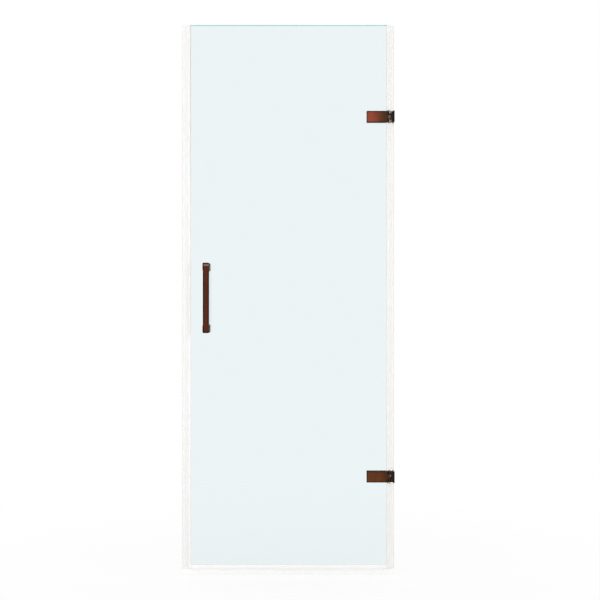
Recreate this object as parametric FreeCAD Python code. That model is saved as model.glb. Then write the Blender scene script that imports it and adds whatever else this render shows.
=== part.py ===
import FreeCAD, Part
import math
import os

# A frameless glass shower door on two sprung wall hinges. Lengths are in millimetres.
# The wall face is the plane X = 0 and the door reaches from it towards -X.
# The outside of the shower is towards -Y, and +Z is up.
# The origin is the middle of the lower wall plate, on the middle plane of the glass.
# Every start, end and reach is a distance from the wall face.

# Glass
glass_height = 1806.0
glass_width = 677.0
glass_thickness = 10.0
glass_bevel = 1.0
glass_start = 13.3
hinge_inset = 305.0  # from the lower and upper edge of the glass to each hinge

# Fits
slip_clearance = 0.05  # all round a pin, screw or sleeve that stays where it is
running_clearance = 0.05  # all round the pivot pin
swing_clearance = 0.5  # between the barrel and what turns around it
overrun = 5.0  # how far a cut runs past the faces it opens

# Wall bracket
bracket_height = 38.0
bracket_depth = 40.0
bracket_thickness = 4.0
bracket_corner = 4.0
ear_thickness = 10.0
neck_thickness = 9.0  # between each ear's barrel and the wall plate
cradle_clearance = 0.4  # between the cradle and the block of an open door
wall_screw_spacing_y = 26.0
wall_screw_spacing_z = 20.0
wall_screw_radius = 2.75
wall_screw_head_radius = 5.2

# Pivot
pin_radius = 3.5
pin_recess = 0.5
pin_flat_depth = 0.6
bush_wall = 0.95
bush_flange_thickness = 1.0
bush_flange_clearance = 0.25  # between a flange and its ear
bush_flange_inset = 0.3  # from the barrel's surface
bush_to_plunger = 1.5
knuckle_wall = 1.95

# Glass clamp
plate_end = 91.3
plate_thickness = 4.5
plate_bevel = 2.0
plate_grip = 27.0  # length of plate beyond the block
gasket_thickness = 1.0
gasket_margin = 0.6
block_height = 25.0
block_corner = 2.0
block_to_glass = 1.5
ear_to_glass = 4.5
bracket_to_glass = 2.0
cut_out_corner = 3.0
clamp_screw_radius = 3.0
clamp_screw_head_radius = 5.2
clamp_screw_inset = 7.5  # from the block's end
clamp_screw_spacing = 15.2
clamp_screw_recess = 0.2
clamp_screw_depth = 3.4  # into the front plate
clamp_screw_key = 4.0
clamp_screw_key_depth = 2.6

# Sprung plunger
plunger_radius = 2.75
plunger_length = 16.0
plunger_gap = 0.2  # between the drawn-back plunger and the round of the pin
plunger_screw_length = 8.0
plunger_screw_inset = 2.0
spring_wire = 0.9
spring_inset = 0.3  # from the plunger's surface
spring_end_gap = 0.15
spring_turns = 3
spans_per_turn = 2

# Vinyl seals
seal_wall = 1.3
seal_corner = 1.0
seal_bead_radius = 1.1
seal_bow = 1.4
strike_leg = 14.0
strike_reach = 15.2  # beyond the glass
hinge_seal_leg = 12.0
hinge_seal_to_wall = 0.7
seal_to_cut_out = 1.5
sweep_leg = 12.0
sweep_drop = 20.0  # below the glass
sweep_to_wall = 2.0
sweep_joint = 0.4  # between the sweep and the upright seals
drip_drop = 7.0
drip_depth = 9.0
drip_inset = 16.0  # from the edges of the glass

# Handle
handle_centres = 203.2
handle_inset = 68.9  # from the strike edge of the glass
handle_height = 899.0  # above the lower edge of the glass
handle_projection = 52.0
bar_width = 20.2
bar_depth = 16.0
bar_corner = 6.5
bar_setback = 1.0
post_width = 22.0
post_height = 28.0
post_corner = 4.5
post_edge = 4.5  # round of the front edges
post_round = 10.0
handle_washer_thickness = 1.5
handle_washer_margin = 0.8
stud_radius = 4.0
stud_depth = 18.0
sleeve_wall = 1.9
cap_radius = 9.0
cap_thickness = 8.0
cap_floor = 2.4

# Shares, counts and turns
parallel_share = 0.999
hex_sides = 6
quarter_turn = 90  # degrees

# Places that follow from the sizes
glass_half = glass_thickness / 2
glass_end = glass_start + glass_width
glass_bottom = -hinge_inset
glass_top = glass_bottom + glass_height
hinge_heights = {"lower": 0.0, "upper": glass_top - hinge_inset}
block_half = glass_half + gasket_thickness
clamp_half = block_half + plate_thickness
bush_radius = pin_radius + running_clearance + bush_wall
barrel_radius = bush_radius + slip_clearance + knuckle_wall
axis_reach = bracket_thickness + swing_clearance + clamp_half
ear_gap = bush_flange_thickness + bush_flange_clearance
bracket_half = bracket_height / 2
ear_low = bracket_half - ear_thickness
knuckle_half = ear_low - ear_gap
cradle_end = axis_reach - block_half - cradle_clearance
plate_start = axis_reach + barrel_radius + swing_clearance
block_end = plate_end - plate_grip
clamp_screw_reach = block_end - clamp_screw_inset
step_end = axis_reach + barrel_radius + ear_to_glass
step_half = bracket_half + bracket_to_glass
cut_end = block_end + block_to_glass
cut_half = block_height / 2 + block_to_glass
bore_radius = plunger_radius + slip_clearance
plunger_start = axis_reach + pin_radius + plunger_gap
plunger_end = plunger_start + plunger_length
plunger_screw_end = block_end - plunger_screw_inset
plunger_screw_start = plunger_screw_end - plunger_screw_length
seal_half = glass_half + slip_clearance
handle_reach = glass_end - handle_inset
handle_middle = glass_bottom + handle_height
post_heights = [handle_middle - handle_centres / 2, handle_middle + handle_centres / 2]
post_back = -glass_half - handle_washer_thickness
post_front = -glass_half - handle_projection
bar_front = post_front + bar_setback
bar_back = bar_front + bar_depth
sleeve_radius = stud_radius + slip_clearance + sleeve_wall

# Directions
to_wall = FreeCAD.Vector(1, 0, 0)
to_inside = FreeCAD.Vector(0, 1, 0)
upwards = FreeCAD.Vector(0, 0, 1)


def point(reach, depth, height):
    """A point by its distance from the wall face, its depth and its height."""
    return FreeCAD.Vector(-reach, depth, height)


def block(near, far, front, back, low, high):
    """A box between two reaches, two depths and two heights."""
    return Part.makeBox(far - near, back - front, high - low, point(far, front, low))


def rod(radius, start, end):
    """A round bar between two points."""
    run = end - start
    return Part.makeCylinder(radius, run.Length, start, run)


def hex_rod(across, start, end):
    """A six-sided bar between two points, for the recess that a key fits."""
    radius = across / math.sqrt(3)
    turns = [2 * math.pi * side / hex_sides for side in range(hex_sides + 1)]
    corners = [FreeCAD.Vector(radius * math.cos(a), radius * math.sin(a), 0) for a in turns]
    run = end - start
    bar = Part.Face(Part.makePolygon(corners)).extrude(upwards * run.Length)
    bar.Placement = FreeCAD.Placement(start, FreeCAD.Rotation(upwards, run))
    return bar


def countersink(head_radius, hole_radius, mouth, inward):
    """The cone that a screw head sits in, with the round way in to it."""
    cone = Part.makeCone(head_radius, hole_radius, head_radius - hole_radius, mouth, inward)
    return cone.fuse(rod(head_radius, mouth - inward * overrun, mouth))


def lines_along(shape, direction):
    """The straight edges of a shape that run along a direction."""
    lines = [edge for edge in shape.Edges if isinstance(edge.Curve, Part.Line)]
    return [
        line
        for line in lines
        if abs(line.tangentAt(line.FirstParameter).dot(direction)) > parallel_share
    ]


def rim(shape, direction):
    """The edges around the face that lies furthest along a direction."""
    return max(shape.Faces, key=lambda face: face.CenterOfMass.dot(direction)).Edges


def rounded(shape, radius, direction):
    """A box with its four edges along a direction rounded."""
    return shape.makeFillet(radius, lines_along(shape, direction))


def joined(shapes):
    """Several overlapping shapes as one solid with no inner seams."""
    whole = shapes[0].multiFuse(shapes[1:])
    return whole.removeSplitter()


def glass_cut_out(middle):
    """A tall step that clears the ears, and a deep slot around the hinge block."""
    front = -glass_half - overrun
    back = glass_half + overrun
    near = glass_start - overrun
    step = block(near, step_end, front, back, middle - step_half, middle + step_half)
    slot = block(near, cut_end, front, back, middle - cut_half, middle + cut_half)
    step = rounded(step, cut_out_corner, to_inside)
    slot = rounded(slot, cut_out_corner, to_inside)
    return step.fuse(slot)


def glass_panel():
    """The sheet, bevelled all round, with its hinge cut-outs and handle holes."""
    sheet = block(glass_start, glass_end, -glass_half, glass_half, glass_bottom, glass_top)
    sheet = sheet.makeChamfer(glass_bevel, rim(sheet, to_inside) + rim(sheet, -to_inside))
    for middle in hinge_heights.values():
        sheet = sheet.cut(glass_cut_out(middle))
    for height in post_heights:
        start = point(handle_reach, -glass_half - overrun, height)
        end = point(handle_reach, glass_half + overrun, height)
        sheet = sheet.cut(rod(sleeve_radius + slip_clearance, start, end))
    return sheet


def wall_ear(middle, side):
    """One ear of the bracket, a barrel on a narrower neck, above or below the knuckle."""
    inner = middle + side * ear_low
    outer = middle + side * bracket_half
    low = min(inner, outer)
    high = max(inner, outer)
    neck = block(0, axis_reach, -neck_thickness / 2, neck_thickness / 2, low, high)
    barrel = rod(barrel_radius, point(axis_reach, 0, low), point(axis_reach, 0, high))
    return joined([neck, barrel])


def cradle(middle):
    """The thick web between the ears, hollowed to the knuckle's curve."""
    low = middle - ear_low
    high = middle + ear_low
    web = block(0, cradle_end, -neck_thickness / 2, neck_thickness / 2, low, high)
    hollow = rod(
        barrel_radius + swing_clearance, point(axis_reach, 0, low), point(axis_reach, 0, high)
    )
    return web.cut(hollow)


def wall_screw_places(middle):
    """The depth and height of each wall screw."""
    depths = [-wall_screw_spacing_y / 2, wall_screw_spacing_y / 2]
    heights = [middle - wall_screw_spacing_z / 2, middle + wall_screw_spacing_z / 2]
    return [(depth, height) for depth in depths for height in heights]


def wall_bracket(middle):
    """The wall plate with its two ears, its cradle and four empty countersunk holes."""
    half_depth = bracket_depth / 2
    low = middle - bracket_half
    high = middle + bracket_half
    plate = block(0, bracket_thickness, -half_depth, half_depth, low, high)
    plate = rounded(plate, bracket_corner, to_wall)
    bracket = joined([plate, wall_ear(middle, -1), wall_ear(middle, 1), cradle(middle)])
    for depth, height in wall_screw_places(middle):
        mouth = point(bracket_thickness, depth, height)
        bracket = bracket.cut(
            rod(wall_screw_radius, point(-overrun, depth, height), mouth - to_wall * overrun)
        )
        bracket = bracket.cut(
            countersink(wall_screw_head_radius, wall_screw_radius, mouth, to_wall)
        )
    pin_hole = rod(
        pin_radius + slip_clearance,
        point(axis_reach, 0, low - overrun),
        point(axis_reach, 0, high + overrun),
    )
    return [bracket.cut(pin_hole)]


def pivot_pin(middle):
    """The pin, with the flat that the plunger finds."""
    low = middle - bracket_half + pin_recess
    high = middle + bracket_half - pin_recess
    pin = rod(pin_radius, point(axis_reach, 0, low), point(axis_reach, 0, high))
    flat_start = axis_reach + pin_radius - pin_flat_depth
    flat_half = plunger_radius + slip_clearance
    flat = block(
        flat_start,
        flat_start + overrun,
        -pin_radius,
        pin_radius,
        middle - flat_half,
        middle + flat_half,
    )
    return pin.cut(flat)


def pivot_bushes(middle):
    """A flanged bush in each end of the knuckle."""
    bushes = []
    for side in (-1, 1):
        knuckle_face = middle + side * knuckle_half
        inner = middle + side * (plunger_radius + bush_to_plunger)
        outer = knuckle_face + side * bush_flange_thickness
        sleeve = rod(bush_radius, point(axis_reach, 0, inner), point(axis_reach, 0, outer))
        flange = rod(
            barrel_radius - bush_flange_inset,
            point(axis_reach, 0, knuckle_face),
            point(axis_reach, 0, outer),
        )
        bore = rod(
            pin_radius + running_clearance,
            point(axis_reach, 0, inner - side * overrun),
            point(axis_reach, 0, outer + side * overrun),
        )
        bushes.append(joined([sleeve, flange]).cut(bore))
    return bushes


def clamp_plate(middle, side):
    """One clamp plate, in front of the glass or behind it, bevelled but for its knuckle end."""
    inner = side * block_half
    outer = side * clamp_half
    front = min(inner, outer)
    back = max(inner, outer)
    low = middle - bracket_half
    high = middle + bracket_half
    plate = block(plate_start, plate_end, front, back, low, high)
    edges = rim(plate, to_inside * side)
    knuckle_end = max(edges, key=lambda edge: edge.CenterOfMass.x)
    edges = [edge for edge in edges if not edge.isSame(knuckle_end)]
    return plate.makeChamfer(plate_bevel, edges)


def clamp_screw_heights(middle):
    """The height of each clamp screw."""
    return [middle - clamp_screw_spacing / 2, middle + clamp_screw_spacing / 2]


def hinge_body(middle):
    """The knuckle, its neck, the block in the glass and the inside clamp plate."""
    low = middle - knuckle_half
    high = middle + knuckle_half
    knuckle = rod(barrel_radius, point(axis_reach, 0, low), point(axis_reach, 0, high))
    neck = block(axis_reach, clamp_screw_reach, -block_half, block_half, low, high)
    base = block(
        plate_start,
        block_end,
        -block_half,
        block_half,
        middle - block_height / 2,
        middle + block_height / 2,
    )
    base = rounded(base, block_corner, to_inside)
    body = joined([knuckle, neck, base, clamp_plate(middle, 1)])
    bush_bore = rod(
        bush_radius + slip_clearance,
        point(axis_reach, 0, low - overrun),
        point(axis_reach, 0, high + overrun),
    )
    spring_bore = rod(
        bore_radius, point(axis_reach, 0, middle), point(block_end + overrun, 0, middle)
    )
    body = body.cut(bush_bore)
    body = body.cut(spring_bore)
    for height in clamp_screw_heights(middle):
        start = point(clamp_screw_reach, -block_half - overrun, height)
        mouth = point(clamp_screw_reach, clamp_half, height)
        hole_radius = clamp_screw_radius + slip_clearance
        body = body.cut(rod(hole_radius, start, mouth + to_inside * overrun))
        body = body.cut(
            countersink(clamp_screw_head_radius + slip_clearance, hole_radius, mouth, -to_inside)
        )
    return body


def front_plate(middle):
    """The outside clamp plate, with a blind threaded hole for each clamp screw."""
    plate = clamp_plate(middle, -1)
    for height in clamp_screw_heights(middle):
        floor = point(clamp_screw_reach, -block_half - clamp_screw_depth - slip_clearance, height)
        mouth = point(clamp_screw_reach, -block_half + overrun, height)
        plate = plate.cut(rod(clamp_screw_radius + slip_clearance, floor, mouth))
    return plate


def clamp_screws(middle):
    """Countersunk screws that draw the front plate towards the hinge body."""
    screws = []
    for height in clamp_screw_heights(middle):
        tip = point(clamp_screw_reach, -block_half - clamp_screw_depth, height)
        face = point(clamp_screw_reach, clamp_half - clamp_screw_recess, height)
        head_depth = clamp_screw_head_radius - clamp_screw_radius - clamp_screw_recess
        head = Part.makeCone(
            clamp_screw_radius + head_depth, clamp_screw_radius, head_depth, face, -to_inside
        )
        screw = joined([rod(clamp_screw_radius, tip, face - to_inside * head_depth), head])
        key_floor = face - to_inside * clamp_screw_key_depth
        screws.append(screw.cut(hex_rod(clamp_screw_key, key_floor, face + to_inside * overrun)))
    return screws


def gasket(middle, side):
    """A thin pad between a clamp plate and the glass, open around the cut-out."""
    inner = side * glass_half
    outer = side * block_half
    front = min(inner, outer)
    back = max(inner, outer)
    half = bracket_half - gasket_margin
    near = step_end + gasket_margin
    far = plate_end - gasket_margin
    pad = block(near, far, front, back, middle - half, middle + half)
    window_half = cut_half + gasket_margin
    window = block(
        near - overrun,
        cut_end + gasket_margin,
        front - overrun,
        back + overrun,
        middle - window_half,
        middle + window_half,
    )
    return pad.cut(window)


def plunger(middle):
    """The sprung plunger, drawn back clear of the round of the pin."""
    nose = point(plunger_start, 0, middle)
    return [rod(plunger_radius, nose, point(plunger_end, 0, middle))]


def plunger_screw(middle):
    """The grub screw that sets how hard the spring pushes."""
    start = point(plunger_screw_start, 0, middle)
    return [rod(plunger_radius, start, point(plunger_screw_end, 0, middle))]


def tangent_arc(start, tangent, end):
    """The arc that leaves a point along a direction and ends at another point."""
    chord = end - start
    turn = tangent.getAngle(chord)
    across = tangent - chord * (tangent.dot(chord) / chord.dot(chord))
    across.normalize()
    crown = (start + end) / 2 + across * (chord.Length / 2 * math.tan(turn / 2))
    return Part.Arc(start, crown, end).toShape()


def two_arcs(start, start_tangent, end, end_tangent):
    """Two arcs that join smoothly, between two points with given directions."""
    chord = end - start
    both = start_tangent + end_tangent
    square = 2 * (start_tangent.dot(end_tangent) - 1)
    linear = chord.dot(both)
    root = math.sqrt(linear * linear - square * chord.dot(chord))
    arm = (linear - root) / square
    meeting = (start + start_tangent * arm + end - end_tangent * arm) / 2
    first = tangent_arc(start, start_tangent, meeting)
    second = tangent_arc(end, -end_tangent, meeting)
    return [first, second]


def plunger_spring(middle):
    """The square-wire spring between the plunger and its screw."""
    radius = plunger_radius - spring_inset - spring_wire / 2
    room = plunger_screw_start - plunger_end
    length = room - spring_wire - 2 * spring_end_gap
    pitch = length / spring_turns
    rise = pitch / (2 * math.pi)
    places = []
    tangents = []
    for step in range(spring_turns * spans_per_turn + 1):
        turn = 2 * math.pi * step / spans_per_turn
        reach = plunger_end + spring_end_gap + spring_wire / 2 + rise * turn
        around = FreeCAD.Vector(0, radius * math.cos(turn), radius * math.sin(turn))
        places.append(point(reach, 0, middle) + around)
        tangent = FreeCAD.Vector(-rise, -radius * math.sin(turn), radius * math.cos(turn))
        tangents.append(tangent.normalize())
    arcs = []
    for step in range(len(places) - 1):
        arcs += two_arcs(places[step], tangents[step], places[step + 1], tangents[step + 1])
    path = Part.Wire(Part.__sortEdges__(arcs))
    along = tangents[0].cross(to_inside)
    half = spring_wire / 2
    corners = [
        places[0] + to_inside * (half * a) + along * (half * b)
        for a, b in ((-1, -1), (1, -1), (1, 1), (-1, 1), (-1, -1))
    ]
    return [path.makePipeShell([Part.makePolygon(corners)], True, True)]


def seal_leaf(root, tip):
    """The outline of a soft leaf, a bowed strip of even thickness."""
    half = seal_wall / 2
    middle = (root + tip) / 2
    front = Part.Arc(
        FreeCAD.Vector(root, -half, 0),
        FreeCAD.Vector(middle, seal_bow - half, 0),
        FreeCAD.Vector(tip, -half, 0),
    )
    back = Part.Arc(
        FreeCAD.Vector(tip, half, 0),
        FreeCAD.Vector(middle, seal_bow + half, 0),
        FreeCAD.Vector(root, half, 0),
    )
    ends = [
        Part.LineSegment(front.EndPoint, back.StartPoint),
        Part.LineSegment(back.EndPoint, front.StartPoint),
    ]
    edges = [front.toShape(), ends[0].toShape(), back.toShape(), ends[1].toShape()]
    return Part.Face(Part.Wire(edges))


def seal_strip(leg, reach, length):
    """A channel that clips on a glass edge at X = 0, with a beaded leaf towards +X."""
    outer_half = seal_half + seal_wall
    web = slip_clearance + seal_wall
    outside = Part.makeBox(
        leg + web, 2 * outer_half, length, FreeCAD.Vector(-leg, -outer_half, 0)
    )
    outside = rounded(outside, seal_corner, upwards)
    inside = Part.makeBox(
        leg + overrun + slip_clearance,
        2 * seal_half,
        length + 2 * overrun,
        FreeCAD.Vector(-leg - overrun, -seal_half, -overrun),
    )
    tip = reach - seal_bead_radius
    leaf = seal_leaf(web / 2 + slip_clearance, tip).extrude(upwards * length)
    bead = Part.makeCylinder(seal_bead_radius, length, FreeCAD.Vector(tip, 0, 0), upwards)
    return joined([outside.cut(inside), leaf, bead])


def strike_seal():
    """The full-height seal on the handle's side."""
    strip = seal_strip(strike_leg, strike_reach, glass_height)
    strip = strip.mirror(FreeCAD.Vector(0, 0, 0), to_wall)
    strip.translate(point(glass_end, 0, glass_bottom))
    return strip


def hinge_seal(low, high):
    """One length of the seal on the hinge side."""
    strip = seal_strip(hinge_seal_leg, glass_start - hinge_seal_to_wall, high - low)
    strip.translate(point(glass_start, 0, low))
    return strip


def hinge_seals():
    """The three lengths of hinge-side seal, clear of both hinge cut-outs."""
    clear = step_half + seal_to_cut_out
    lower, upper = hinge_heights.values()
    return {
        "hinge_seal_lower": hinge_seal(glass_bottom, lower - clear),
        "hinge_seal_middle": hinge_seal(lower + clear, upper - clear),
        "hinge_seal_upper": hinge_seal(upper + clear, glass_top),
    }


def drip_rail(length):
    """The sloping rail that sheds water, on the inside of the sweep."""
    web = slip_clearance + seal_wall
    outer_half = seal_half + seal_wall
    outline = [
        FreeCAD.Vector(0, seal_half, 0),
        FreeCAD.Vector(0, outer_half, 0),
        FreeCAD.Vector(drip_drop, outer_half + drip_depth, 0),
        FreeCAD.Vector(drip_drop + seal_wall, outer_half + drip_depth, 0),
        FreeCAD.Vector(web, seal_half, 0),
        FreeCAD.Vector(0, seal_half, 0),
    ]
    return Part.Face(Part.makePolygon(outline)).extrude(upwards * length)


def leg_notch(low, high):
    """What is cut from the sweep's legs at one end, where an upright seal stands."""
    half = seal_half + seal_wall + overrun
    corner = FreeCAD.Vector(-sweep_leg - overrun, -half, low)
    return Part.makeBox(sweep_leg + overrun, 2 * half, high - low, corner)


def bottom_sweep():
    """The clip-on sweep under the glass, with its leaf and its drip rail."""
    start = sweep_to_wall
    end = glass_end + strike_reach
    strip = seal_strip(sweep_leg, sweep_drop, end - start)
    strike_side = strike_reach + strike_leg + sweep_joint
    hinge_side = end - glass_start - hinge_seal_leg - sweep_joint
    strip = strip.cut(leg_notch(-overrun, strike_side))
    strip = strip.cut(leg_notch(hinge_side, end + overrun))
    rail = drip_rail(glass_width - 2 * drip_inset)
    rail.translate(upwards * (end - glass_end + drip_inset))
    sweep = joined([strip, rail])
    sweep.rotate(FreeCAD.Vector(0, 0, 0), to_inside, quarter_turn)
    sweep.translate(point(end, 0, glass_bottom))
    return sweep


def rounded_outline(width, height, corner, front, back, middle):
    """A rounded upright rectangle about the handle's line, extruded front to back."""
    near = handle_reach - width / 2
    far = handle_reach + width / 2
    shape = block(near, far, front, back, middle - height / 2, middle + height / 2)
    return rounded(shape, corner, to_inside)


def handle_bar():
    """The upright bar, which meets the posts face to face."""
    low = post_heights[0] + post_height / 2
    high = post_heights[1] - post_height / 2
    near = handle_reach - bar_width / 2
    far = handle_reach + bar_width / 2
    return rounded(block(near, far, bar_front, bar_back, low, high), bar_corner, upwards)


def post_side_outline(middle, side):
    """The post from the side: its outer front corner is one large round."""
    outer = middle + side * post_height / 2
    inner = middle - side * post_height / 2
    wide = handle_reach + post_width / 2 + overrun
    narrow = handle_reach - post_width / 2 - overrun
    round_middle = outer - side * post_round
    diagonal = post_round / math.sqrt(2)
    start = point(wide, post_front, round_middle)
    crown = point(wide, post_front + post_round - diagonal, round_middle + side * diagonal)
    end = point(wide, post_front + post_round, outer)
    back_outer = point(wide, post_back, outer)
    back_inner = point(wide, post_back, inner)
    front_inner = point(wide, post_front, inner)
    edges = [
        Part.Arc(start, crown, end).toShape(),
        Part.makeLine(end, back_outer),
        Part.makeLine(back_outer, back_inner),
        Part.makeLine(back_inner, front_inner),
        Part.makeLine(front_inner, start),
    ]
    return Part.Face(Part.Wire(edges)).extrude(to_wall * (wide - narrow))


def handle_post(middle, side):
    """The end block that carries the bar and reaches back to the glass."""
    front_view = rounded_outline(
        post_width, post_height, post_corner, post_front, post_back, middle
    )
    near = handle_reach - post_width / 2
    far = handle_reach + post_width / 2
    low = middle - post_height / 2
    high = middle + post_height / 2
    top_view = block(near, far, post_front, post_back + overrun, low, high)
    top_view = rounded(top_view, post_edge, upwards)
    post = front_view.common(post_side_outline(middle, side)).common(top_view)
    stud_hole = rod(
        stud_radius + slip_clearance,
        point(handle_reach, post_back - stud_depth - slip_clearance, middle),
        point(handle_reach, post_back + overrun, middle),
    )
    return post.cut(stud_hole)


def handle_studs():
    """The threaded studs that cross the glass."""
    studs = []
    for height in post_heights:
        start = point(handle_reach, post_back - stud_depth, height)
        end = point(handle_reach, cap_hole_end(), height)
        studs.append(rod(stud_radius, start, end))
    return Part.makeCompound(studs)


def cap_hole_end():
    """The depth of the floor of the hole in an inner cap."""
    return glass_half + handle_washer_thickness + cap_thickness - cap_floor


def handle_outer_washers():
    """The clear pads between the posts and the glass, each with a sleeve through the glass."""
    washers = []
    for height in post_heights:
        width = post_width - 2 * handle_washer_margin
        tall = post_height - 2 * handle_washer_margin
        corner = post_corner - handle_washer_margin
        pad = rounded_outline(width, tall, corner, post_back, -glass_half, height)
        start = point(handle_reach, post_back, height)
        end = point(handle_reach, glass_half, height)
        sleeve = rod(sleeve_radius, point(handle_reach, -glass_half, height), end)
        hole = rod(stud_radius + slip_clearance, start, end)
        washers.append(joined([pad, sleeve]).cut(hole))
    return Part.makeCompound(washers)


def handle_inner_washers():
    """The clear round washers between the inner caps and the glass."""
    washers = []
    for height in post_heights:
        start = point(handle_reach, glass_half, height)
        end = point(handle_reach, glass_half + handle_washer_thickness, height)
        disc = rod(cap_radius - handle_washer_margin, start, end)
        washers.append(disc.cut(rod(stud_radius + slip_clearance, start, end)))
    return Part.makeCompound(washers)


def handle_inner_caps():
    """The round cap nuts on the inside of the glass."""
    caps = []
    for height in post_heights:
        back = glass_half + handle_washer_thickness
        start = point(handle_reach, back, height)
        end = point(handle_reach, back + cap_thickness, height)
        cap = rod(cap_radius, start, end)
        hole_floor = point(handle_reach, cap_hole_end() + slip_clearance, height)
        caps.append(cap.cut(rod(stud_radius + slip_clearance, start, hole_floor)))
    return Part.makeCompound(caps)


def hinge_pieces(name, middle):
    """The pieces of one hinge, by their full names."""
    return {
        f"{name}_pivot_pin": pivot_pin(middle),
        f"{name}_hinge_body": hinge_body(middle),
        f"{name}_front_plate": front_plate(middle),
        f"{name}_front_gasket": gasket(middle, -1),
        f"{name}_back_gasket": gasket(middle, 1),
    }


def both_hinges(maker):
    """The like pieces of both hinges, as one group of solids."""
    return Part.makeCompound([piece for z in hinge_heights.values() for piece in maker(z)])


def paired_hinge_pieces():
    """The pieces that both hinges have alike, each kind as one group."""
    return {
        "wall_brackets": both_hinges(wall_bracket),
        "pivot_bushes": both_hinges(pivot_bushes),
        "clamp_screws": both_hinges(clamp_screws),
        "plungers": both_hinges(plunger),
        "plunger_springs": both_hinges(plunger_spring),
        "plunger_screws": both_hinges(plunger_screw),
    }


def handle_pieces():
    """Every piece of the handle."""
    return {
        "handle_bar": handle_bar(),
        "handle_lower_post": handle_post(post_heights[0], -1),
        "handle_upper_post": handle_post(post_heights[1], 1),
        "handle_outer_washers": handle_outer_washers(),
        "handle_inner_washers": handle_inner_washers(),
        "handle_studs": handle_studs(),
        "handle_inner_caps": handle_inner_caps(),
    }


def all_pieces():
    """Every piece of the door, by name."""
    pieces = {"glass_panel": glass_panel(), "strike_seal": strike_seal()}
    pieces["bottom_sweep"] = bottom_sweep()
    pieces.update(hinge_seals())
    for name, middle in hinge_heights.items():
        pieces.update(hinge_pieces(name, middle))
    pieces.update(paired_hinge_pieces())
    pieces.update(handle_pieces())
    return pieces


os.makedirs("parts", exist_ok=True)
for piece_name, piece_shape in all_pieces().items():
    piece_shape.exportStep(f"parts/{piece_name}.step")
    print(piece_name, len(piece_shape.Solids), piece_shape.isValid(), round(piece_shape.Volume))
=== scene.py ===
import math

import bpy
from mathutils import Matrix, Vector


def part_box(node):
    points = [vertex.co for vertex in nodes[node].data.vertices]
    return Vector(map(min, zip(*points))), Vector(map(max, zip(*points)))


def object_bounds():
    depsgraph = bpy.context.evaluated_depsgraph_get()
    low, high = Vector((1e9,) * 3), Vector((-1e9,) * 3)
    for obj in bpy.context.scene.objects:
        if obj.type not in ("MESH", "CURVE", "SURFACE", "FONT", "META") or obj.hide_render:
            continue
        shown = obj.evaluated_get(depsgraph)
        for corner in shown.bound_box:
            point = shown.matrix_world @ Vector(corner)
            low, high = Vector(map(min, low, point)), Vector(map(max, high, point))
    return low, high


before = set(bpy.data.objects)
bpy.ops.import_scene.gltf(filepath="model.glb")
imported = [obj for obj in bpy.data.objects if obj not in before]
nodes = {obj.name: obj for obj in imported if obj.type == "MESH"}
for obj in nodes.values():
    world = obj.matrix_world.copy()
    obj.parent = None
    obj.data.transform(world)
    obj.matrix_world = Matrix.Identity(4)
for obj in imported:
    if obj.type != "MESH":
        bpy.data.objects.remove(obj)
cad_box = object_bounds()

scene = bpy.context.scene
scene.view_settings.view_transform = "Standard"

# The camera stands in front of the outside of the door. Lengths are in metres.
camera_distance = 3.2
view_width = 1.997
view_centre = (-0.3130, 0.5870)
sensor = 36.0  # millimetres

# The lamps: place, width and height, and power
lamp_aim = (-0.35, 0.0, 0.6)
lamps = {
    "key": ((-2.3, -3.6, 1.0), (1.8, 1.8), 48.0),
    "fill": ((2.4, -3.2, 0.8), (1.2, 1.6), 25.0),
    "back": ((-0.6, 3.4, 1.4), (1.8, 1.4), 30.0),
}
soft_light = 0.86  # the strength of the even light from all round

# The floor lies a little below the door, which hangs on its wall
floor_gap = 0.015
floor_half = 8.0
floor_fade = (0.55, 1.7)  # distances from its middle between which it turns white
floor_white = 0.85  # the least share of plain white in the floor that is seen

# A patch of colour that has no end on one side ends far outside the part
far = 9.0
whole = (-far, far)
patch_edge = 0.0005  # how softly a patch ends

# The clamp plates: how wide each one's top and bottom rims of painted shade are, and the places
# along X between which its buffing, a painted reflection, fades out
upper_rim_shade_widths = (0.0046, 0.0020)
lower_rim_shade_widths = (0.0040, 0.0034)
upper_reflection_fade = (-0.084, -0.026)
lower_reflection_fade = (-0.060, -0.002)

# The wall plates are darkened as painted shade from this place along X
wall_shade_front = -0.0042

# Painted highlights on the upper bracket's two ears and on both knuckles, and painted shade on the
# upper knuckle's wall side, from the pivot's middle
ear_highlight_across = (-0.0021, 0.0058)
upper_ear_highlight = 0.0110
lower_ear_highlight = (-0.0300, -0.0100)
knuckle_shade_side = -0.0068
knuckle_highlight_side = -0.0050
knuckle_highlight_heights = (-0.0058, 0.0052)
spot_highlight_across = (0.0014, 0.0050)
spot_highlight_heights = (-0.0010, 0.0056)

# The handle's rims and sides in painted shade, and the heights of the painted highlight and
# painted shade on its blocks
rim_shade_width = 0.0046
side_shade_width = 0.0012
top_highlight_band = (-0.0113, -0.0050)  # the painted highlight band under the top of the upper block
bottom_shade_band = 0.0022

# The patina's two browns, and what the metal mirrors at a low angle, dull and buffed
patina = ((0.030, 0.016, 0.011, 1.0), (0.013, 0.008, 0.006, 1.0))
brown_glance = (0.42, 0.34, 0.27, 1.0)
bright_glance = (1.0, 0.94, 0.86, 1.0)
bronze_metal = 0.96
dull_share = 0.2  # what is left of the metal's shine on a patch of kind MIX
faded_reflection_share = 0.12  # what is left of the buffing, a painted reflection, beyond its ends

# Clear vinyl
milkiness = 0.18
shadow_clearness = 0.85  # the share of light that it lets by
edge_on_clearness = 0.35  # what is left of its clearness where it is seen edge-on
shade_line_fade = (0.0006, 0.0022)  # distances between which a dark line of painted shade fades out
shade_line_colour = (0.20, 0.25, 0.21, 1.0)
shade_line_heights = (0.55, 1.5)  # mid height and the top of the door

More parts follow.
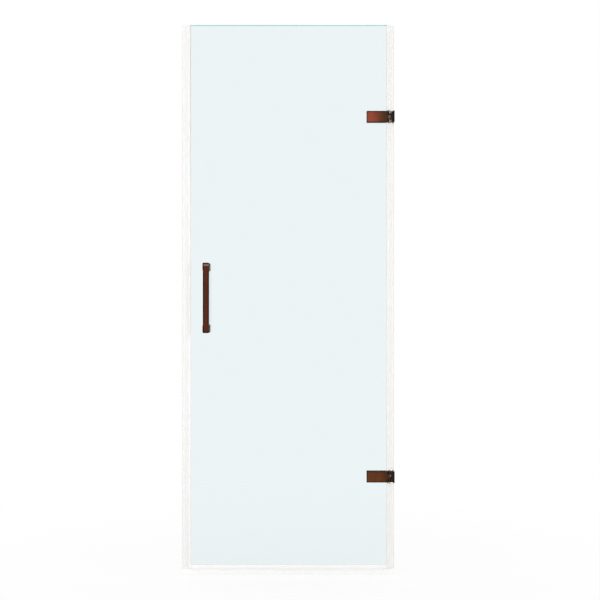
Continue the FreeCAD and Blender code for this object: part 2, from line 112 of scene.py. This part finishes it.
# Where the seals' fine lines of painted shade and their beads lie, from the edges of the seals
strike_outer_shade_line = 0.0015
hinge_outer_shade_line = 0.0011
strike_bead = (-0.0037, -0.0022)
sweep_bead = (-0.0040, -0.0025)

# Where the seals' channels end, from the edges of the glass
channel_end = 0.0014
hinge_channel_end = 0.0031

# Where a bead's own clearness comes in: on the way down, and on the inside of the glass
strike_bead_heights = (1.1, 0.55)
inner_depths = (0.0, 0.001)

# The heights, from the glass's lower edge, between which the pale colour under it ends
pale_edge = (0.002, 0.005)

# How far each unit of a seed moves the noise along X, Y and Z
seed_steps = (1.0, 0.7, 1.3)


def rgb(red, green, blue):
    """A colour as the shaders take it."""
    return (red, green, blue, 1.0)


def middle_of(name):
    """The middle of a node's box."""
    low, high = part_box(name)
    return (low + high) / 2


def span(place, ends):
    """Two places, given by how far they lie from another."""
    return (place + ends[0], place + ends[1])


def add(tree, kind, **settings):
    """A shader node with its settings made."""
    node = tree.nodes.new(kind)
    for name, value in settings.items():
        setattr(node, name, value)
    return node


def feed(tree, socket, source):
    """Links a socket, or sets it to a plain value."""
    if isinstance(source, bpy.types.NodeSocket):
        tree.links.new(source, socket)
    else:
        socket.default_value = source


def maths(tree, operation, first, second=0.0, third=0.0, clamp=False):
    """The result of one sum."""
    node = add(tree, "ShaderNodeMath", operation=operation, use_clamp=clamp)
    for index, value in enumerate((first, second, third)):
        feed(tree, node.inputs[index], value)
    return node.outputs[0]


def multiply(tree, first, second, clamp=False):
    """The product of two values."""
    return maths(tree, "MULTIPLY", first, second, clamp=clamp)


def spread(tree, value, least, reach):
    """A value from nothing to one, carried to a reach above a least value."""
    return maths(tree, "MULTIPLY_ADD", value, reach, least)


def ramp(tree, value, low, high, out_low=0.0, out_high=1.0):
    """A value carried smoothly from one range to another and held at its ends."""
    node = add(tree, "ShaderNodeMapRange", interpolation_type="SMOOTHSTEP", clamp=True)
    for index, item in enumerate((value, low, high, out_low, out_high)):
        feed(tree, node.inputs[index], item)
    return node.outputs[0]


def blend_colours(tree, share, first, second, kind="MIX"):
    """Two colours mixed by a share."""
    node = add(tree, "ShaderNodeMix", data_type="RGBA", blend_type=kind)
    feed(tree, node.inputs["Factor"], share)
    feed(tree, node.inputs[6], first)
    feed(tree, node.inputs[7], second)
    return node.outputs[2]


def mix_shaders(tree, share, first, second):
    """Two shaders mixed by a share."""
    node = add(tree, "ShaderNodeMixShader")
    for index, item in enumerate((share, first, second)):
        feed(tree, node.inputs[index], item)
    return node.outputs[0]


def noise(tree, place, scale, detail=3.0, roughness=0.5, stretch=None, seed=0.0):
    """Noise around a place, as a value about one half."""
    if stretch is not None or seed:
        mapping = add(tree, "ShaderNodeMapping")
        feed(tree, mapping.inputs["Vector"], place)
        mapping.inputs["Scale"].default_value = stretch or (1.0, 1.0, 1.0)
        mapping.inputs["Location"].default_value = tuple(seed * step for step in seed_steps)
        place = mapping.outputs[0]
    node = add(tree, "ShaderNodeTexNoise")
    feed(tree, node.inputs["Vector"], place)
    node.inputs["Scale"].default_value = scale
    node.inputs["Detail"].default_value = detail
    node.inputs["Roughness"].default_value = roughness
    return node.outputs["Fac"]


def bump(tree, height, strength, distance):
    """A surface normal that follows a height."""
    node = add(tree, "ShaderNodeBump")
    node.inputs["Strength"].default_value = strength
    node.inputs["Distance"].default_value = distance
    feed(tree, node.inputs["Height"], height)
    return node.outputs[0]


def start_material(name):
    """An empty material, with its nodes, its surface socket and the place on the object."""
    material = bpy.data.materials.new(name)
    material.use_nodes = True
    tree = material.node_tree
    tree.nodes.clear()
    surface = add(tree, "ShaderNodeOutputMaterial").inputs["Surface"]
    place = add(tree, "ShaderNodeTexCoord").outputs["Object"]
    return material, tree, surface, place


def principled(tree, **values):
    """A principled shader with its sockets fed by name."""
    shader = add(tree, "ShaderNodeBsdfPrincipled")
    for name, value in values.items():
        feed(tree, shader.inputs[name.replace("_", " ")], value)
    return shader.outputs[0]


def clear_shader(tree, colour):
    """A shader that lets all light straight through, tinted."""
    node = add(tree, "ShaderNodeBsdfTransparent")
    node.inputs["Color"].default_value = colour
    return node.outputs[0]


def parts_of(tree, vector):
    """The three parts of a vector."""
    split = add(tree, "ShaderNodeSeparateXYZ")
    feed(tree, split.inputs[0], vector)
    return split.outputs


def faces_along(tree, axis):
    """How squarely a face of the object looks along an axis, from nothing to one."""
    normal = add(tree, "ShaderNodeTexCoord").outputs["Normal"]
    return maths(tree, "ABSOLUTE", parts_of(tree, normal)[axis])


def between(tree, value, low, high):
    """One between two values, fading out softly at both."""
    above = ramp(tree, value, low - patch_edge, low + patch_edge)
    below = ramp(tree, value, high - patch_edge, high + patch_edge, 1.0, 0.0)
    return multiply(tree, above, below)


def inside_patch(tree, place, along_x, along_z):
    """One between two places along X and two along Z."""
    across = parts_of(tree, place)
    inside_x = between(tree, across[0], *along_x)
    inside_z = between(tree, across[2], *along_z)
    return multiply(tree, inside_x, inside_z)


def seen_directly(tree):
    """One for what the camera, a mirror or clear glass sees, and nothing for soft light."""
    rays = add(tree, "ShaderNodeLightPath").outputs
    seen = maths(tree, "MAXIMUM", rays["Is Camera Ray"], rays["Is Glossy Ray"])
    return maths(tree, "MAXIMUM", seen, rays["Is Transmission Ray"])


def shadow_ray(tree):
    """One for a ray that looks for a lamp."""
    return add(tree, "ShaderNodeLightPath").outputs["Is Shadow Ray"]


def sheen_and_buffing_share(tree, place, clouds, glow, ends, seed):
    """How far the patina is buffed back, part real wear and part painted light: front faces most
    as a painted sheen, sides and bevels left dark as painted shade, and least beyond the ends,
    where a painted reflection fades out.
    """
    specks = noise(tree, place, scale=240.0, detail=3.0, roughness=0.7, seed=seed + 3.1)
    specks = ramp(tree, specks, low=0.35, high=0.75)
    cloudy = spread(tree, clouds, least=0.66, reach=0.34)
    speckled = spread(tree, specks, least=0.84, reach=0.16)
    # Painted sheen on faces that look to the front; sides and bevels keep the dark patina as
    # painted shade
    front_sheen = ramp(tree, faces_along(tree, 1), low=0.72, high=0.99)
    share = multiply(tree, multiply(tree, cloudy, speckled), front_sheen)
    # The fade along X is a painted reflection
    if ends is not None:
        along = ramp(tree, parts_of(tree, place)[0], ends[0], ends[1], 1.0, faded_reflection_share)
        share = multiply(tree, share, along)
    return multiply(tree, share, glow, clamp=True)


def lay_patches(tree, place, colour, patches):
    """The colour and the share of metal, with each patch laid over them: painted highlights and
    painted shade.
    """
    metal = bronze_metal
    for along_x, along_z, shade, kind in patches:
        inside = inside_patch(tree, place, along_x, along_z)
        colour = blend_colours(tree, inside, colour, shade, kind)
        if kind == "MIX":
            metal = multiply(tree, metal, ramp(tree, inside, 0.0, 1.0, 1.0, dull_share))
    return colour, metal


def bronze(
    name,
    glow,
    red,
    rough=0.14,
    ends=None,
    base=patina,
    patches=(),
    glancing=brown_glance,
    seed=0.0,
):
    """Oil-rubbed bronze: a dark patina, buffed back to red-brown on the flat faces, partly as real
    wear and partly as a painted sheen, with sides and bevels in painted shade.

    The ends are the two places along X between which the buffing, a painted reflection, fades out.
    Each patch is its places along X and along Z, its colour and how that is mixed in, and a patch
    of kind MIX loses most of the metal's shine; the patches are painted highlights and painted
    shade. Glancing tints what the metal mirrors at a low angle.
    """
    material, tree, surface, place = start_material(name)
    clouds = noise(tree, place, scale=26.0, detail=5.0, roughness=0.62, seed=seed)
    clouds = ramp(tree, clouds, low=0.32, high=0.68)
    brown = blend_colours(tree, clouds, base[0], base[1])
    share = sheen_and_buffing_share(tree, place, clouds, glow, ends, seed)
    # The buffed red is part real wear, part painted sheen and painted reflection
    sheened_and_buffed = blend_colours(tree, share, brown, red)
    colour, metal = lay_patches(tree, place, sheened_and_buffed, patches)
    brushing = noise(tree, place, scale=60.0, roughness=0.6, stretch=(1.0, 9.0, 22.0), seed=seed)
    grain = noise(tree, place, scale=1300.0, detail=2.0)
    sideways = ramp(tree, faces_along(tree, 0), low=0.5, high=0.95)
    satin = spread(tree, sideways, least=rough, reach=0.35)
    height = maths(tree, "MULTIPLY_ADD", grain, 0.35, brushing)
    shader = principled(
        tree,
        Base_Color=colour,
        Metallic=metal,
        Roughness=spread(tree, brushing, least=satin, reach=0.14),
        Normal=bump(tree, height, strength=0.12, distance=0.0002),
        Specular_Tint=glancing,
        Specular_IOR_Level=0.1,
        Coat_Weight=0.02,
        Coat_Roughness=0.22,
    )
    feed(tree, surface, shader)
    return material


def steel(name, colour, rough, turned=(1.0, 1.0, 40.0)):
    """Ground or drawn steel with fine lines across its length."""
    material, tree, surface, place = start_material(name)
    lines = noise(tree, place, scale=90.0, roughness=0.6, stretch=turned)
    stain = noise(tree, place, scale=60.0, detail=4.0, roughness=0.6, seed=2.0)
    dark = rgb(*(part * 0.72 for part in colour[:3]))
    shader = principled(
        tree,
        Base_Color=blend_colours(tree, ramp(tree, stain, low=0.3, high=0.7), dark, colour),
        Metallic=1.0,
        Roughness=spread(tree, lines, least=rough, reach=0.2),
        Normal=bump(tree, lines, strength=0.15, distance=0.0002),
    )
    feed(tree, surface, shader)
    return material


def glass_sheet(tree, place):
    """The clear faces, faintly blue-green and not quite even."""
    ripple = noise(tree, place, scale=5.0, detail=2.0, roughness=0.4, stretch=(1.0, 1.0, 0.4))
    return principled(
        tree,
        Base_Color=rgb(0.83, 0.9, 0.917),
        Roughness=0.0,
        IOR=1.5,
        Transmission_Weight=1.0,
        Normal=bump(tree, ripple, strength=0.03, distance=0.002),
    )


def glass_edge(tree, place):
    """The ground edges, which show deeper teal, but pale along the bottom."""
    grinding = noise(tree, place, scale=420.0, detail=4.0, roughness=0.65, stretch=(1.0, 3.0, 1.0))
    teal = blend_colours(tree, grinding, rgb(0.24, 0.70, 0.71), rgb(0.38, 0.86, 0.86))
    pale = span(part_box("glass_panel")[0].z, pale_edge)
    under = ramp(tree, parts_of(tree, place)[2], *pale, 1.0, 0.0)
    return principled(
        tree,
        Base_Color=blend_colours(tree, under, teal, rgb(0.86, 0.94, 0.94)),
        Roughness=spread(tree, grinding, least=0.25, reach=0.2),
        Transmission_Weight=0.35,
        Normal=bump(tree, grinding, strength=0.2, distance=0.0003),
    )


def glass(name):
    """Clear toughened glass, with an almost clear shadow."""
    material, tree, surface, place = start_material(name)
    face = ramp(tree, faces_along(tree, 1), low=0.80, high=0.95)
    solid = mix_shaders(tree, face, glass_edge(tree, place), glass_sheet(tree, place))
    clear = clear_shader(tree, rgb(0.96, 0.98, 0.985))
    feed(tree, surface, mix_shaders(tree, shadow_ray(tree), solid, clear))
    return material


def vinyl_tint(tree, place, colour, shade_lines, shaded_leaf, seed):
    """The vinyl's colour, hazy and a little warm, with its leaf darkened as painted shade and its
    dark lines of painted shade.
    """
    haze = noise(tree, place, scale=9.0, detail=4.0, roughness=0.6, seed=seed + 1.7)
    warm = rgb(colour[0] * 0.995, colour[1] * 0.985, colour[2] * 0.965)
    tint = blend_colours(tree, ramp(tree, haze, low=0.3, high=0.7), colour, warm)
    across = parts_of(tree, place)
    if shaded_leaf is not None:
        # The leaf is painted darker than the channel, as painted shade
        axis, ends, shade = shaded_leaf
        tint = blend_colours(tree, between(tree, across[axis], *ends), tint, shade)
    # Each line is painted shade, darkest at the top of the door
    for reach, top_share, low_share in shade_lines:
        away = maths(tree, "ABSOLUTE", maths(tree, "SUBTRACT", across[0], reach))
        depth = ramp(tree, across[2], *shade_line_heights, low_share, top_share)
        shade_line = multiply(tree, ramp(tree, away, *shade_line_fade, 1.0, 0.0), depth)
        tint = blend_colours(tree, shade_line, tint, shade_line_colour)
    return tint


def vinyl_share(tree, place, clearness, bead):
    """How clear the vinyl is, edge-on, on its beads, and to light that would cast a shadow."""
    weight = add(tree, "ShaderNodeLayerWeight")
    weight.inputs["Blend"].default_value = 0.35
    edge_on = clearness * edge_on_clearness
    share = ramp(tree, weight.outputs["Facing"], 0.0, 1.0, clearness, edge_on)
    if bead is not None:
        axis, start, gate_axis, gate, bead_clearness = bead
        across = parts_of(tree, place)
        past_start = ramp(tree, across[axis], *start)
        past_gate = ramp(tree, across[gate_axis], *gate)
        on_bead = multiply(tree, past_start, past_gate)
        change = maths(tree, "SUBTRACT", bead_clearness, share)
        share = maths(tree, "MULTIPLY_ADD", on_bead, change, share)
    let_by = multiply(tree, shadow_ray(tree), shadow_clearness)
    return maths(tree, "MAXIMUM", share, let_by)


def vinyl(name, colour, clearness, along, shade_lines=(), shaded_leaf=None, bead=None, seed=0.0):
    """Clear extruded vinyl, a little milky, with faint draw lines along its length.

    Each shade line is a place along X where a dark line of painted shade lies, how dark it is at
    the top of the door, and how dark at mid height. The shaded leaf is an axis, the two places
    along it between which the seal is a thin leaf and no channel, and the leaf's colour, painted
    darker as shade. The bead, which ends each leg, is an axis and the two places along it where
    the bead starts, then an axis and the two places between which its own clearness comes in, and
    that clearness.
    """
    material, tree, surface, place = start_material(name)
    stretch = tuple(1.0 if part else 30.0 for part in along)
    lines = noise(tree, place, scale=30.0, roughness=0.55, stretch=stretch, seed=seed)
    tint = vinyl_tint(tree, place, colour, shade_lines, shaded_leaf, seed)
    body = principled(
        tree,
        Base_Color=tint,
        Roughness=spread(tree, lines, least=0.2, reach=0.18),
        Normal=bump(tree, lines, strength=0.1, distance=0.0003),
        IOR=1.53,
    )
    through = add(tree, "ShaderNodeBsdfTranslucent")
    feed(tree, through.inputs["Color"], tint)
    milky = mix_shaders(tree, milkiness, body, through.outputs[0])
    clear = clear_shader(tree, rgb(0.985, 0.98, 0.965))
    share = vinyl_share(tree, place, clearness, bead)
    feed(tree, surface, mix_shaders(tree, share, milky, clear))
    return material


def moulded(name, colour, rough):
    """Moulded plastic or rubber with a fine grain and a little dust."""
    material, tree, surface, place = start_material(name)
    grain = noise(tree, place, scale=700.0, roughness=0.6)
    dust = noise(tree, place, scale=35.0, detail=4.0, roughness=0.6, seed=4.0)
    dusty = rgb(*(part * 1.25 + 0.01 for part in colour[:3]))
    shader = principled(
        tree,
        Base_Color=blend_colours(tree, ramp(tree, dust, 0.4, 0.8, 0.0, 0.5), colour, dusty),
        Roughness=spread(tree, dust, least=rough, reach=0.15),
        Normal=bump(tree, grain, strength=0.25, distance=0.0002),
    )
    feed(tree, surface, shader)
    return material


def floor_material():
    """A pale floor that keeps the door's shadow and fades to white away from it."""
    material, tree, surface, place = start_material("floor")
    grain = noise(tree, place, scale=6.0, detail=4.0, roughness=0.6)
    paint = blend_colours(tree, grain, rgb(0.86, 0.86, 0.86), rgb(0.90, 0.90, 0.90))
    matt = principled(tree, Base_Color=paint, Roughness=0.7, Specular_IOR_Level=0.0)
    white = add(tree, "ShaderNodeEmission")
    distance = add(tree, "ShaderNodeVectorMath", operation="LENGTH")
    feed(tree, distance.inputs[0], place)
    fade = ramp(tree, distance.outputs["Value"], *floor_fade, floor_white)
    share = multiply(tree, fade, seen_directly(tree))
    feed(tree, surface, mix_shaders(tree, share, matt, white.outputs[0]))
    return material


def make_floor():
    """A flat pale floor under the door, centred on it."""
    low, high = cad_box
    mesh = bpy.data.meshes.new("floor")
    half = floor_half
    corners = [(-half, -half, 0), (half, -half, 0), (half, half, 0), (-half, half, 0)]
    mesh.from_pydata(corners, [], [(0, 1, 2, 3)])
    floor = bpy.data.objects.new("floor", mesh)
    floor.location = ((low.x + high.x) / 2, 0.0, low.z - floor_gap)
    mesh.materials.append(floor_material())
    scene.collection.objects.link(floor)


def background(tree, colour, strength):
    """A light from all round."""
    node = add(tree, "ShaderNodeBackground")
    node.inputs["Color"].default_value = colour
    node.inputs["Strength"].default_value = strength
    return node.outputs[0]


def make_world():
    """White behind everything, and a soft even light on the object."""
    world = bpy.data.worlds.new("studio")
    scene.world = world
    world.use_nodes = True
    tree = world.node_tree
    tree.nodes.clear()
    output = add(tree, "ShaderNodeOutputWorld")
    soft = background(tree, rgb(1.0, 0.995, 0.985), soft_light)
    white = background(tree, rgb(1.0, 1.0, 1.0), 1.0)
    feed(tree, output.inputs["Surface"], mix_shaders(tree, seen_directly(tree), soft, white))


def make_lamp(name, place, size, power):
    """A soft lamp that points at the door and isn't mirrored in it."""
    data = bpy.data.lights.new(name, "AREA")
    data.shape = "RECTANGLE"
    data.size, data.size_y = size
    data.energy = power
    lamp = bpy.data.objects.new(name, data)
    lamp.location = place
    lamp.visible_camera = False
    lamp.visible_transmission = False
    lamp.visible_glossy = False
    lamp.rotation_mode = "QUATERNION"
    lamp.rotation_quaternion = (Vector(lamp_aim) - Vector(place)).to_track_quat("-Z", "Y")
    scene.collection.objects.link(lamp)


def make_camera():
    """The camera, square to the glass, with the photograph's frame."""
    data = bpy.data.cameras.new("camera")
    data.sensor_width = sensor
    data.lens = sensor * camera_distance / view_width
    camera = bpy.data.objects.new("camera", data)
    camera.location = (view_centre[0], -camera_distance, view_centre[1])
    camera.rotation_euler = (math.radians(90.0), 0.0, 0.0)
    scene.collection.objects.link(camera)
    scene.camera = camera


def dress(material, *names):
    """Gives CAD nodes a material."""
    for name in names:
        slots = nodes[name].data.materials
        slots.clear()
        slots.append(material)


def plate_rim_shades(name, rims, top_shade, bottom_shade):
    """The dark rims of painted shade along the top and the bottom of a clamp plate."""
    low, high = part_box(name)
    top, bottom = rims
    return (
        (whole, (high.z - top, far), top_shade, "MULTIPLY"),
        (whole, (-far, low.z + bottom), bottom_shade, "MULTIPLY"),
    )


def dress_plates():
    """The upper plate's red, partly wear and partly a painted reflection, turns olive towards the
    knuckle, and the lower one is brown with a weaker painted reflection; both have rims of painted
    shade.
    """
    upper = bronze(
        "bronze_upper_plate",
        glow=1.0,
        red=rgb(0.378, 0.080, 0.046),
        rough=0.2,
        # The red fades out along X as a painted reflection
        ends=upper_reflection_fade,
        base=(rgb(0.052, 0.036, 0.018), rgb(0.032, 0.023, 0.011)),
        # Rims of painted shade along the top and bottom
        patches=plate_rim_shades(
            "upper_front_plate", upper_rim_shade_widths, rgb(0.5, 0.45, 0.5), rgb(0.6, 0.7, 0.6)
        ),
        glancing=bright_glance,
        seed=1.3,
    )
    lower = bronze(
        "bronze_lower_plate",
        glow=0.95,
        red=rgb(0.172, 0.054, 0.020),
        rough=0.2,
        # The brown fades out along X as a painted reflection
        ends=lower_reflection_fade,
        # Rims of painted shade along the top and bottom
        patches=plate_rim_shades(
            "lower_front_plate", lower_rim_shade_widths, rgb(0.75, 0.85, 0.9), rgb(0.42, 0.36, 0.36)
        ),
        glancing=bright_glance,
        seed=5.9,
    )
    dress(upper, "upper_front_plate")
    dress(lower, "lower_front_plate")


def dress_brackets():
    """The upper bracket's ears carry a painted grey highlight in front, and both plates are
    darkened at the wall as painted shade.
    """
    axis = middle_of("upper_pivot_pin")
    front = span(axis.x, ear_highlight_across)
    # A painted highlight on the ears' rounded fronts
    ear_highlight = rgb(0.30, 0.235, 0.20)
    ears = bronze(
        "bronze_ears",
        glow=0.4,
        red=rgb(0.075, 0.042, 0.032),
        base=(rgb(0.052, 0.034, 0.024), rgb(0.032, 0.021, 0.015)),
        patches=(
            (front, (axis.z + upper_ear_highlight, far), ear_highlight, "MIX"),
            (front, span(axis.z, lower_ear_highlight), ear_highlight, "MIX"),
            # Painted shade where the plates sit against the wall
            ((wall_shade_front, far), whole, rgb(0.010, 0.006, 0.005), "MIX"),
        ),
        glancing=bright_glance,
    )
    dress(ears, "wall_brackets")


def dress_hinge_bodies():
    """The upper knuckle carries a painted grey highlight and painted shade on its wall side, and
    the lower one a small painted highlight.
    """
    axis = middle_of("upper_pivot_pin")
    # A painted highlight down the front of the upper knuckle
    knuckle_highlight = ((axis.x + knuckle_highlight_side, far), span(axis.z, knuckle_highlight_heights))
    upper = bronze(
        "bronze_upper_body",
        glow=0.4,
        red=rgb(0.075, 0.042, 0.032),
        patches=(
            # Painted shade on the knuckle's wall side
            ((axis.x + knuckle_shade_side, far), whole, rgb(0.010, 0.006, 0.005), "MIX"),
            (*knuckle_highlight, rgb(0.130, 0.110, 0.100), "MIX"),
        ),
        seed=7.7,
    )
    axis = middle_of("lower_pivot_pin")
    # A small painted highlight on the lower knuckle
    spot_highlight = (span(axis.x, spot_highlight_across), span(axis.z, spot_highlight_heights))
    lower = bronze(
        "bronze_lower_body",
        glow=0.6,
        red=rgb(0.095, 0.056, 0.042),
        patches=((*spot_highlight, rgb(0.36, 0.275, 0.235), "MIX"),),
        seed=7.7,
    )
    dress(upper, "upper_hinge_body")
    dress(lower, "lower_hinge_body")


def handle_side_shades(name, side_shade):
    """Painted shade: the dark left rim of a piece of the handle, and the shade of its right side.
    """
    low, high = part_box(name)
    return (
        ((-far, low.x + rim_shade_width), whole, rgb(0.45, 0.38, 0.36), "MULTIPLY"),
        ((high.x - side_shade_width, far), whole, side_shade, "MIX"),
    )


def dress_handle_bar():
    """The upright bar, red-brown between sides in painted shade."""
    # Painted shade on the bar's left rim and right side
    side_shades = handle_side_shades("handle_bar", rgb(0.030, 0.018, 0.012))
    bar = bronze("bronze_handle", 0.95, rgb(0.1265, 0.0320, 0.0145), patches=side_shades, seed=2.4)
    dress(bar, "handle_bar")


def dress_handle_blocks():
    """The blocks at the bar's ends, with a painted highlight band just under the top, and painted
    shade on the very top and along the bottom.
    """
    # Painted shade on the blocks' left rims and right sides
    side_shades = handle_side_shades("handle_upper_post", rgb(0.088, 0.058, 0.036))
    low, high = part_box("handle_upper_post")
    front = (low.x + side_shade_width, high.x - side_shade_width)
    # A painted highlight band under the top, and painted shade on the very top
    top = (
        (front, span(high.z, top_highlight_band), rgb(0.225, 0.118, 0.088), "MIX"),
        (whole, (high.z + top_highlight_band[1], far), rgb(0.020, 0.009, 0.005), "MIX"),
    )
    upper = bronze(
        "bronze_upper_block",
        glow=0.95,
        red=rgb(0.124, 0.033, 0.0155),
        rough=0.1,
        patches=(*top, *side_shades),
        seed=9.2,
    )
    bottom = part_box("handle_lower_post")[0].z
    # Painted shade along the bottom of the lower block
    bottom_rim_shade = (whole, (-far, bottom + bottom_shade_band), rgb(0.3, 0.25, 0.22), "MULTIPLY")
    lower = bronze(
        "bronze_lower_block",
        glow=0.95,
        red=rgb(0.129, 0.0335, 0.0135),
        rough=0.1,
        patches=(*side_shades, bottom_rim_shade),
        seed=4.1,
    )
    dress(upper, "handle_upper_post")
    dress(lower, "handle_lower_post", "handle_inner_caps")


def dress_small_pieces():
    """The pins, studs, springs, screws, bushes, gaskets and clear washers."""
    ground = steel("ground_steel", rgb(0.52, 0.52, 0.53), 0.2)
    dress(ground, "lower_pivot_pin", "upper_pivot_pin", "plungers", "plunger_screws")
    dress(steel("stud_steel", rgb(0.5, 0.5, 0.5), 0.26, (1.0, 30.0, 1.0)), "handle_studs")
    dress(steel("spring_steel", rgb(0.42, 0.42, 0.44), 0.24), "plunger_springs")
    dress(steel("black_screw", rgb(0.07, 0.055, 0.05), 0.34), "clamp_screws")
    dress(moulded("bush_plastic", rgb(0.030, 0.026, 0.023), 0.6), "pivot_bushes")
    gaskets = [f"{end}_{side}_gasket" for end in ("lower", "upper") for side in ("front", "back")]
    dress(moulded("gasket_rubber", rgb(0.12, 0.12, 0.12), 0.6), *gaskets)
    washer = vinyl("clear_washer", rgb(0.93, 0.93, 0.92), 0.8, (False, True, False), seed=8.0)
    dress(washer, "handle_outer_washers", "handle_inner_washers")


def dress_strike_seal():
    """The seal on the handle's side, whose inner line of painted shade fades out on the way down.
    """
    low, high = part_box("strike_seal")
    glass_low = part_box("glass_panel")[0]
    strike = vinyl(
        "vinyl_strike",
        rgb(0.968, 0.945, 0.955),
        clearness=0.42,
        along=(False, False, True),
        # Dark lines of painted shade along the seal's edges
        shade_lines=((high.x, 0.33, 0.0), (low.x + strike_outer_shade_line, 0.03, 0.03)),
        # The leaf's colour is painted shade
        shaded_leaf=(0, (-far, glass_low.x - channel_end), rgb(0.855, 0.855, 0.855)),
        bead=(0, span(high.x, strike_bead), 2, strike_bead_heights, 0.10),
    )
    dress(strike, "strike_seal")


def dress_hinge_seals():
    """The three lengths of seal between and beyond the hinges."""
    low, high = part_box("hinge_seal_middle")
    glass_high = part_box("glass_panel")[1]
    hinge = vinyl(
        "vinyl_hinge",
        rgb(0.955, 0.930, 0.925),
        clearness=0.42,
        along=(False, False, True),
        # Dark lines of painted shade along the seal's edges
        shade_lines=((low.x, 0.1, 0.0), (high.x - hinge_outer_shade_line, 0.14, 0.14)),
        # The leaf's colour is painted shade
        shaded_leaf=(0, (glass_high.x + hinge_channel_end, far), rgb(0.862, 0.862, 0.862)),
        seed=3.0,
    )
    dress(hinge, "hinge_seal_lower", "hinge_seal_middle", "hinge_seal_upper")


def dress_sweep():
    """The bottom sweep, whose inner bead is all but clear."""
    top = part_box("bottom_sweep")[1].z
    bottom_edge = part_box("glass_panel")[0].z
    sweep = vinyl(
        "vinyl_sweep",
        rgb(0.99, 0.975, 1.0),
        clearness=0.36,
        along=(True, False, False),
        # The leaf's colour is painted shade
        shaded_leaf=(2, (-far, bottom_edge - channel_end), rgb(0.912, 0.912, 0.912)),
        bead=(2, span(top, sweep_bead), 1, inner_depths, 0.97),
        seed=6.0,
    )
    dress(sweep, "bottom_sweep")


make_camera()
make_world()
make_floor()
for lamp_name, (lamp_place, lamp_size, lamp_power) in lamps.items():
    make_lamp(lamp_name, lamp_place, lamp_size, lamp_power)
dress(glass("toughened_glass"), "glass_panel")
dress_plates()
dress_brackets()
dress_hinge_bodies()
dress_handle_bar()
dress_handle_blocks()
dress_small_pieces()
dress_strike_seal()
dress_hinge_seals()
dress_sweep()
